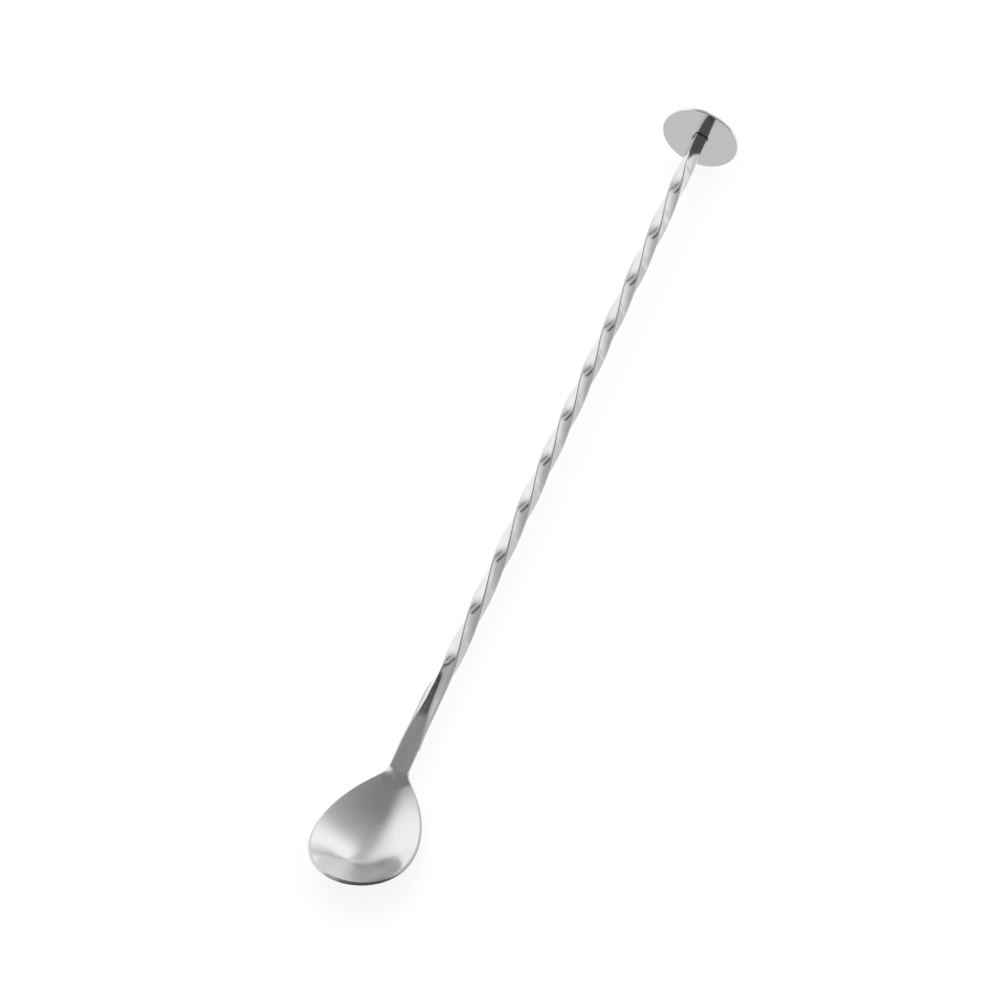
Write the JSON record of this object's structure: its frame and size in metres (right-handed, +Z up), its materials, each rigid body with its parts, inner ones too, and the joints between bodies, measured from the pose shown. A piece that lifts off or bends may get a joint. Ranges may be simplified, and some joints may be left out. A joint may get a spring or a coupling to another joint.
{
  "type": "bar spoon",
  "caption": "Long-handled bar spoon: an egg-shaped bowl on a flat neck, a left-hand twisted square rod, and a flat round muddling disc at the far end.",
  "frame": {"origin": "on the table, under the middle of the overall box, as the spoon lies on its disc and its bowl", "axes": "+X along the rod from the bowl to the disc, +Y to the left seen from the bowl, +Z up out of the open bowl"},
  "size_m": [0.2834, 0.0282, 0.0232],
  "materials": {
    "polished_steel": "polished stainless steel with fine polishing lines",
    "disc_steel": "fine-brushed stainless sheet",
    "weld_steel": "ground and brushed weld metal"
  },
  "bodies": {
    "root": {"spoon_bowl": "polished_steel", "neck_weld": "weld_steel", "twisted_rod": "polished_steel", "disc_weld": "weld_steel", "muddler_disc": "disc_steel"}
  },
  "joints": []
}
